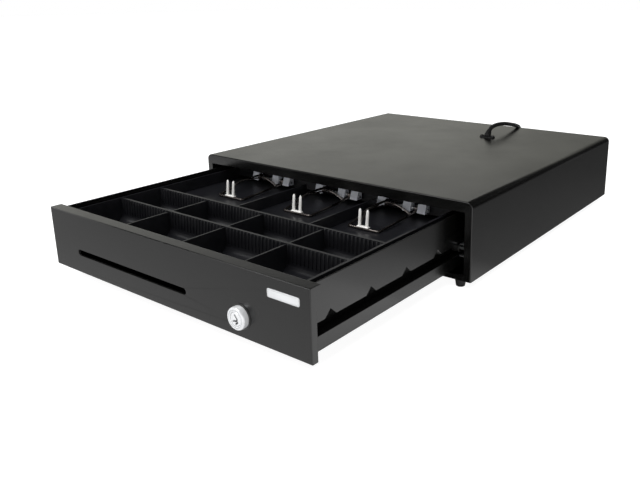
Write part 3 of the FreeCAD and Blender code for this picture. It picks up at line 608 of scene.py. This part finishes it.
def cabinet_screws():
    """Screws that hold the rear panel and the base to the cover."""
    bm = bmesh.new()
    for x in REAR_SCREWS_X:
        for z in REAR_SCREWS_Z:
            pan_head(bm, (x, DEPTH, z), (0, 1, 0), HEAD_R, HEAD_H)
    for x in BASE_SCREWS_X:
        for y in BASE_SCREWS_Y:
            pan_head(bm, (x, y, BASE_Z), (0, 0, -1), HEAD_R, HEAD_H)
    return solid("cabinet_screws", bm)


keep(badge(), "drawer", "badge", "badge_plate")
keep(feet(), "cabinet", "rubber", "rubber_feet")
keep(gland(), "cabinet", "cable_black", "cable_gland")
keep(gland_screws(), "cabinet", "cable_black")
keep(cabinet_screws(), "cabinet", "powder_black")


# ---- materials ----
def shade(value):
    """A colour with alpha, from a colour or a plain brightness."""
    return (*value, 1.0) if isinstance(value, tuple) else (value, value, value, 1.0)


class Nodes:
    """A material's node tree, with short calls to add nodes and links."""

    def __init__(self, name):
        self.material = bpy.data.materials.new(name)
        self.material.use_nodes = True
        self.tree = self.material.node_tree
        self.tree.nodes.clear()
        self.shader = self.add("ShaderNodeBsdfPrincipled")
        output = self.add("ShaderNodeOutputMaterial")
        self.link(self.shader, "BSDF", output, "Surface")
        self.place = self.add("ShaderNodeTexCoord")

    def add(self, kind, **settings):
        node = self.tree.nodes.new(kind)
        for key, value in settings.items():
            setattr(node, key, value)
        return node

    def link(self, a, out, b, into):
        self.tree.links.new(a.outputs[out], b.inputs[into])

    def noise(self, scale, detail=3.0, rough=0.5, stretch=None):
        """Noise over the object's own coordinates, stretched where a stretch is given."""
        node = self.add("ShaderNodeTexNoise")
        node.inputs["Scale"].default_value = scale
        node.inputs["Detail"].default_value = detail
        node.inputs["Roughness"].default_value = rough
        if stretch:
            self.link(self.spread(stretch), "Vector", node, "Vector")
        else:
            self.link(self.place, "Object", node, "Vector")
        return node

    def spread(self, stretch):
        node = self.add("ShaderNodeMapping")
        node.inputs["Scale"].default_value = stretch
        self.link(self.place, "Object", node, "Vector")
        return node

    def ramp(self, source, out, stops):
        """A colour ramp: each stop is (place, colour or brightness)."""
        node = self.add("ShaderNodeValToRGB")
        elements = node.color_ramp.elements
        ends = (elements[0], stops[0]), (elements[1], stops[-1])
        for element, (where, value) in ends:
            element.position = where
            element.color = shade(value)
        for where, value in stops[1:-1]:
            elements.new(where).color = shade(value)
        self.link(source, out, node, "Fac")
        return node

    def bump(self, source, out, strength, distance, below=None):
        """A bump, on top of another node's normal where one is given."""
        node = self.add("ShaderNodeBump")
        node.inputs["Strength"].default_value = strength
        node.inputs["Distance"].default_value = distance
        self.link(source, out, node, "Height")
        if below is not None:
            self.link(below, "Normal", node, "Normal")
        return node

    def mix(self, share, out, a, a_out, b):
        """a where share is 0, the plain colour b where it is 1."""
        node = self.add("ShaderNodeMix", data_type="RGBA")
        self.link(share, out, node, "Factor")
        self.tree.links.new(a.outputs[a_out], node.inputs[6])
        node.inputs[7].default_value = (*b, 1.0)
        return node

    def set(self, **values):
        """Sets the shader's inputs by name, with _ for a space."""
        for key, value in values.items():
            self.shader.inputs[key.replace("_", " ")].default_value = value


def powder_coat(name, low, high):
    """Satin black powder coat: fine orange peel, faint handling marks, and worn edges."""
    n = Nodes(name)
    wide = n.noise(22.0, 4.0, 0.6)
    colour = n.ramp(wide, "Fac", [(0.3, low), (0.7, high)])
    specks = n.noise(2600.0, 2.0, 0.6)
    spots = n.ramp(specks, "Fac", [(0.66, 0.0), (0.78, 1.0)])
    speckled = n.mix(spots, "Color", colour, "Color", tuple(1.6 * c for c in high))
    edge = n.add("ShaderNodeBevel", samples=4)
    edge.inputs["Radius"].default_value = 0.6 * MM
    geometry = n.add("ShaderNodeNewGeometry")
    dot = n.add("ShaderNodeVectorMath", operation="DOT_PRODUCT")
    n.link(edge, "Normal", dot, 0)
    n.link(geometry, "Normal", dot, 1)
    bare = n.ramp(dot, "Value", [(0.86, 1.0), (0.97, 0.0)])
    worn = n.noise(260.0, 5.0, 0.7)
    worn_here = n.ramp(worn, "Fac", [(0.56, 0.0), (0.66, 0.5)])
    both = n.add("ShaderNodeMath", operation="MULTIPLY")
    n.link(bare, "Color", both, 0)
    n.link(worn_here, "Color", both, 1)
    final = n.mix(both, "Value", speckled, 2, (0.05, 0.05, 0.05))
    n.tree.links.new(final.outputs[2], n.shader.inputs["Base Color"])
    smears = n.noise(9.0, 6.0, 0.65, (1.0, 1.0, 2.5))
    n.link(n.ramp(smears, "Fac", [(0.3, 0.20), (0.72, 0.27)]), "Color", n.shader, "Roughness")
    peel = n.noise(620.0, 2.0, 0.5)
    grain = n.noise(3400.0, 1.0, 0.5)
    bump = n.bump(grain, "Fac", 0.06, 0.05 * MM, n.bump(peel, "Fac", 0.10, 0.12 * MM, edge))
    n.link(bump, "Normal", n.shader, "Normal")
    n.set(Specular_IOR_Level=0.5)
    return n.material


def moulded(name, low, high, rough, grain=1500.0, depth=0.05):
    """Moulded plastic or rubber: fine spark-eroded texture, faint flow marks and scuffs."""
    n = Nodes(name)
    flow = n.noise(35.0, 4.0, 0.6, (1.0, 2.0, 1.0))
    colour = n.ramp(flow, "Fac", [(0.3, low), (0.72, high)])
    scuff = n.noise(140.0, 8.0, 0.75, (1.0, 0.15, 1.0))
    marks = n.ramp(scuff, "Fac", [(0.6, 0.0), (0.74, 0.45)])
    scuffed = n.mix(marks, "Color", colour, "Color", tuple(min(1.0, 1.7 * c + 0.004) for c in high))
    n.tree.links.new(scuffed.outputs[2], n.shader.inputs["Base Color"])
    n.link(n.ramp(flow, "Fac", [(0.25, rough[0]), (0.75, rough[1])]), "Color", n.shader, "Roughness")
    texture = n.noise(grain, 2.0, 0.6)
    n.link(n.bump(texture, "Fac", depth * 3, depth * MM), "Normal", n.shader, "Normal")
    n.set(Specular_IOR_Level=0.5)
    return n.material


def metal(name, low, high, rough, stretch, spangle=0.0, scratches=0.3, metallic=1.0):
    """Plated or bare metal: cloudy plating, fine scratches along one way, dull patches."""
    n = Nodes(name)
    cloud = n.noise(60.0, 5.0, 0.6)
    colour = n.ramp(cloud, "Fac", [(0.3, low), (0.7, high)])
    last, out = colour, "Color"
    if spangle:
        cells = n.add("ShaderNodeTexVoronoi")
        cells.inputs["Scale"].default_value = 220.0
        n.link(n.place, "Object", cells, "Vector")
        share = n.ramp(cells, "Distance", [(0.1, 0.0), (0.7, spangle)])
        last, out = n.mix(share, "Color", colour, "Color", tuple(0.7 * c for c in low)), 2
    n.tree.links.new(last.outputs[out], n.shader.inputs["Base Color"])
    n.link(n.ramp(cloud, "Fac", [(0.25, rough[0]), (0.8, rough[1])]), "Color", n.shader, "Roughness")
    lines = n.noise(900.0, 4.0, 0.7, stretch)
    n.link(n.bump(lines, "Fac", scratches, 0.02 * MM), "Normal", n.shader, "Normal")
    n.set(Metallic=metallic)
    return n.material


def taped(name):
    """Varnished winding tape: thin wraps round the coil, amber to brown."""
    n = Nodes(name)
    wraps = n.add("ShaderNodeTexWave", wave_type="BANDS", bands_direction="Z", wave_profile="SAW")
    wraps.inputs["Scale"].default_value = 90.0
    wraps.inputs["Distortion"].default_value = 0.6
    n.link(n.place, "Object", wraps, "Vector")
    colour = n.ramp(wraps, "Fac", [(0.0, (0.16, 0.07, 0.01)), (1.0, (0.36, 0.19, 0.03))])
    n.link(colour, "Color", n.shader, "Base Color")
    n.link(n.ramp(wraps, "Fac", [(0.0, 0.2), (1.0, 0.45)]), "Color", n.shader, "Roughness")
    n.link(n.bump(wraps, "Fac", 0.5, 0.1 * MM), "Normal", n.shader, "Normal")
    return n.material


def clear_plastic(name):
    """Cloudy clear plastic with faint flow marks."""
    n = Nodes(name)
    flow = n.noise(300.0, 4.0, 0.6)
    colour = n.ramp(flow, "Fac", [(0.3, (0.82, 0.84, 0.84)), (0.7, (0.93, 0.94, 0.93))])
    n.link(colour, "Color", n.shader, "Base Color")
    n.link(n.ramp(flow, "Fac", [(0.3, 0.06), (0.75, 0.25)]), "Color", n.shader, "Roughness")
    n.link(n.bump(flow, "Fac", 0.15, 0.05 * MM), "Normal", n.shader, "Normal")
    n.set(Transmission_Weight=0.85, IOR=1.49)
    return n.material


# Each row: the darkest and lightest colour, then the roughness range and the texture's settings.
MATERIALS = {
    "powder_black": powder_coat("powder_black", (0.0012, 0.0012, 0.0011), (0.0022, 0.0022, 0.0020)),
    "zinc_steel": metal("zinc_steel", (0.52, 0.53, 0.55), (0.66, 0.67, 0.68), (0.24, 0.42),
                        (1.0, 0.1, 1.0), spangle=0.35),
    "nylon": moulded("nylon", (0.010, 0.010, 0.010), (0.018, 0.018, 0.017), (0.35, 0.5), 1200.0, 0.03),
    "rubber": moulded("rubber", (0.010, 0.010, 0.010), (0.018, 0.018, 0.018), (0.55, 0.75), 900.0, 0.10),
    "badge": moulded("badge", (0.60, 0.61, 0.62), (0.70, 0.71, 0.72), (0.28, 0.40), 2600.0, 0.02),
    "chrome": metal("chrome", (0.72, 0.73, 0.75), (0.82, 0.83, 0.84), (0.08, 0.18),
                    (1.0, 1.0, 1.0), scratches=0.12, metallic=0.35),
    "satin_nickel": metal("satin_nickel", (0.86, 0.85, 0.82), (0.95, 0.94, 0.91), (0.38, 0.5),
                          (1.0, 1.0, 0.2), scratches=0.15, metallic=0.25),
    "tray_plastic": moulded("tray_plastic", (0.0058, 0.0060, 0.0075), (0.0100, 0.0102, 0.0120),
                            (0.30, 0.42), 1400.0, 0.06),
    "clip_grey": moulded("clip_grey", (0.80, 0.83, 0.90), (0.88, 0.90, 0.96), (0.4, 0.55), 1600.0, 0.04),
    "clip_wire": metal("clip_wire", (0.20, 0.18, 0.17), (0.32, 0.29, 0.27), (0.2, 0.38),
                       (1.0, 0.2, 1.0), scratches=0.2),
    "coil_tape": taped("coil_tape"),
    "switch_plastic": moulded("switch_plastic", (0.012, 0.012, 0.013), (0.02, 0.02, 0.021), (0.4, 0.55)),
    "cable_black": moulded("cable_black", (0.006, 0.006, 0.006), (0.011, 0.011, 0.011), (0.32, 0.46),
                           1100.0, 0.05),
    "plug_clear": clear_plastic("plug_clear"),
}


for row in frame["record"]["subparts"]:
    node = frame["nodes"][row["node"]]
    for material_slot in node.material_slots:
        material_slot.material = MATERIALS[row["material_slot"]]
for made, slot_name in PIECES.items():
    made.data.materials.append(MATERIALS[slot_name])

# How far the edges of sheet and moulded parts are rounded, in mm
ROUNDED = {
    "housing_cover": 0.2, "base_plate": 0.3, "rear_panel": 0.3, "front_panel": 0.35, "drawer_shell": 0.3,
    "cash_tray": 0.45, "clip_bar": 0.4, "clip_blocks": 0.4,
    "cabinet_rail_right": 0.3, "cabinet_rail_left": 0.3, "latch_bracket": 0.3, "solenoid_frame": 0.3,
    "drawer_switch": 0.4, "ejector_housing": 0.4, "striker_plate": 0.3, "lock_keeper": 0.3, "lock_nut": 0.3,
}
ROUNDED.update({n: 0.4 for n in frame["nodes"] if "divider" in n})
BEVEL_OVER = 35.0        # degrees between two faces
for name, width in ROUNDED.items():
    node = frame["nodes"][name]
    weld = node.modifiers.new("weld", "WELD")
    weld.merge_threshold = 0.002 * MM
    bevel = node.modifiers.new("edges", "BEVEL")
    bevel.width = width * MM
    bevel.segments = 2
    bevel.limit_method = "ANGLE"
    bevel.angle_limit = math.radians(BEVEL_OVER)
    bevel.harden_normals = True


# ---- floor and light, in metres ----
FLOOR_HALF = 14.0
CARD_Z = 0.0006          # the floor's cards lie just above it
SWEEP_R, SWEEP_H = 2.5, 1.0          # the curved reflector behind the object
SWEEP_FROM, SWEEP_TO = -100.0, 85.0  # degrees round from straight behind, to the right
SWEEP_STEPS = 48
SUN_ENERGY, SUN_WIDTH = 3.1, 55.0    # watts a square metre, degrees
BOX_AT, BOX_SIZE, BOX_WATTS = (-0.7, -1.6, 1.7), (1.4, 0.8), 22.0
SKY_STOPS = ((0.33, 1.0), (0.37, 0.03))     # height of the direction, brightness
FLOOR_GLOW = 0.94


def glow(n, source, out):
    """Makes a material shine with a colour from a node, and nothing else."""
    n.link(source, out, n.shader, "Emission Color")
    n.set(Emission_Strength=1.0, Base_Color=(0, 0, 0, 1), Roughness=1.0, Specular_IOR_Level=0.0)


def graded(n, axis, low, high, stops):
    """A ramp along an axis: each stop is (place in metres, brightness)."""
    split = n.add("ShaderNodeSeparateXYZ")
    n.link(n.place, "Object", split, 0)
    scaled = n.add("ShaderNodeMapRange")
    scaled.inputs["From Min"].default_value = low
    scaled.inputs["From Max"].default_value = high
    n.link(split, axis, scaled, "Value")
    return n.ramp(scaled, "Result", [((where - low) / (high - low), value) for where, value in stops])


def reflector(name, points, faces, material):
    """A studio card that only reflections see."""
    mesh = bpy.data.meshes.new(name)
    mesh.from_pydata(points, [], faces)
    mesh.materials.append(material)
    card = bpy.data.objects.new(name, mesh)
    bpy.context.scene.collection.objects.link(card)
    card.visible_camera = card.visible_diffuse = card.visible_shadow = False
    card.visible_transmission = card.visible_volume_scatter = False
    return card


def floor_card(name, x0, x1, y0, y1, axis, stops):
    """A card on the floor, graded along one axis, that sets what the sides near it reflect."""
    n = Nodes(name)
    ends = (x0, x1) if axis == "X" else (y0, y1)
    glow(n, graded(n, axis, *ends, stops), "Color")
    corners = [(x, y, CARD_Z) for x, y in ((x0, y0), (x1, y0), (x1, y1), (x0, y1))]
    reflector(name, corners, [(0, 1, 2, 3)], n.material)


def sweep():
    """A curved card behind the object: bright at the back left, dark at the back right."""
    n = Nodes("sweep")
    colours = [(-SWEEP_R, (0.74, 0.74, 0.69)), (-1.75, (0.70, 0.70, 0.65)), (-1.15, (0.62, 0.62, 0.57)),
               (-0.80, (0.44, 0.44, 0.40)), (-0.20, (0.30, 0.30, 0.27)), (0.15, 0.04), (SWEEP_R, 0.02)]
    across = graded(n, "X", -SWEEP_R, SWEEP_R, colours)
    up = graded(n, "Z", 0.0, SWEEP_H, [(0.0, 0.6), (0.36, 0.72), (0.56, 1.0), (SWEEP_H, 1.0)])
    both = n.add("ShaderNodeMix", data_type="RGBA", blend_type="MULTIPLY")
    both.inputs["Factor"].default_value = 1.0
    n.tree.links.new(across.outputs["Color"], both.inputs[6])
    n.tree.links.new(up.outputs["Color"], both.inputs[7])
    glow(n, both, 2)
    points, faces = [], []
    for i in range(SWEEP_STEPS + 1):
        azimuth = math.radians(SWEEP_FROM + (SWEEP_TO - SWEEP_FROM) * i / SWEEP_STEPS)
        x, y = SWEEP_R * math.sin(azimuth), SWEEP_R * math.cos(azimuth)
        points += [(x, y, 0.0), (x, y, SWEEP_H)]
    for i in range(SWEEP_STEPS):
        faces.append((2 * i, 2 * i + 2, 2 * i + 3, 2 * i + 1))
    reflector("sweep", points, faces, n.material)


def make_floor():
    """A pale floor, lit a little from beneath so that shadows stay soft."""
    n = Nodes("floor")
    blotch = n.noise(1.6, 3.0, 0.5)
    n.link(n.ramp(blotch, "Fac", [(0.3, 0.30), (0.7, 0.32)]), "Color", n.shader, "Base Color")
    n.set(Roughness=0.9, Specular_IOR_Level=0.1, Emission_Color=(1, 1, 1, 1), Emission_Strength=FLOOR_GLOW)
    mesh = bpy.data.meshes.new("floor")
    s = FLOOR_HALF
    mesh.from_pydata([(-s, -s, 0), (s, -s, 0), (s, s, 0), (-s, s, 0)], [], [(0, 1, 2, 3)])
    mesh.materials.append(n.material)
    floor = bpy.data.objects.new("floor", mesh)
    bpy.context.scene.collection.objects.link(floor)


def make_lights():
    """A wide overhead light for the shading, and a soft box at the front left for highlights."""
    sun = bpy.data.lights.new("overhead", "SUN")
    sun.energy = SUN_ENERGY
    sun.angle = math.radians(SUN_WIDTH)
    lamp = bpy.data.objects.new("overhead", sun)
    lamp.rotation_euler = (math.radians(6.0), math.radians(4.0), 0.0)
    lamp.visible_glossy = False
    bpy.context.scene.collection.objects.link(lamp)
    area = bpy.data.lights.new("softbox", "AREA")
    area.shape = "RECTANGLE"
    area.size, area.size_y = BOX_SIZE
    area.energy = BOX_WATTS
    box = bpy.data.objects.new("softbox", area)
    box.location = BOX_AT
    box.rotation_euler = (-box.location).to_track_quat("-Z", "Y").to_euler()
    bpy.context.scene.collection.objects.link(box)


def make_sky():
    """White low down and dark above, so that only shallow reflections are bright."""
    world = bpy.data.worlds.new("studio")
    bpy.context.scene.world = world
    world.use_nodes = True
    tree = world.node_tree
    tree.nodes.clear()
    add, link = tree.nodes.new, tree.links.new
    place, split = add("ShaderNodeTexCoord"), add("ShaderNodeSeparateXYZ")
    ramp = add("ShaderNodeValToRGB")
    background, output = add("ShaderNodeBackground"), add("ShaderNodeOutputWorld")
    link(place.outputs["Generated"], split.inputs[0])
    link(split.outputs["Z"], ramp.inputs["Fac"])
    for element, (where, value) in zip(ramp.color_ramp.elements, SKY_STOPS):
        element.position = where
        element.color = shade(value)
    link(ramp.outputs["Color"], background.inputs["Color"])
    link(background.outputs[0], output.inputs[0])


FRONT_STOPS = [(-1.5, 0.5), (-0.333, 0.57), (-0.105, 0.72), (0.2, 0.9)]
RIGHT_STOPS = [(-0.15, 1.05), (-0.06, 0.68), (0.0, 0.30), (0.16, 0.21), (0.5, 0.12), (1.6, 0.04),
               (2.6, 0.02)]
UNDER_SHADE_STOPS = [(-0.2, 0.03), (0.2, 0.02)]


def make_stage():
    """Floor, the cards that reflections see, lights and sky."""
    make_floor()
    floor_card("card_front", -1.5, 0.2, -1.8, -0.325, "X", FRONT_STOPS)
    floor_card("card_right", 0.207, 2.6, -0.15, 2.6, "Y", RIGHT_STOPS)
    # The card under the open drawer is painted shade: the lower frame and feet reflect it dark in place of
    # the glowing floor in the drawer's shadow.
    floor_card("card_under", -0.2, 0.2, -0.316, 0.328, "X", UNDER_SHADE_STOPS)
    sweep()
    make_lights()
    make_sky()


make_stage()
bpy.context.scene.view_settings.view_transform = "Standard"
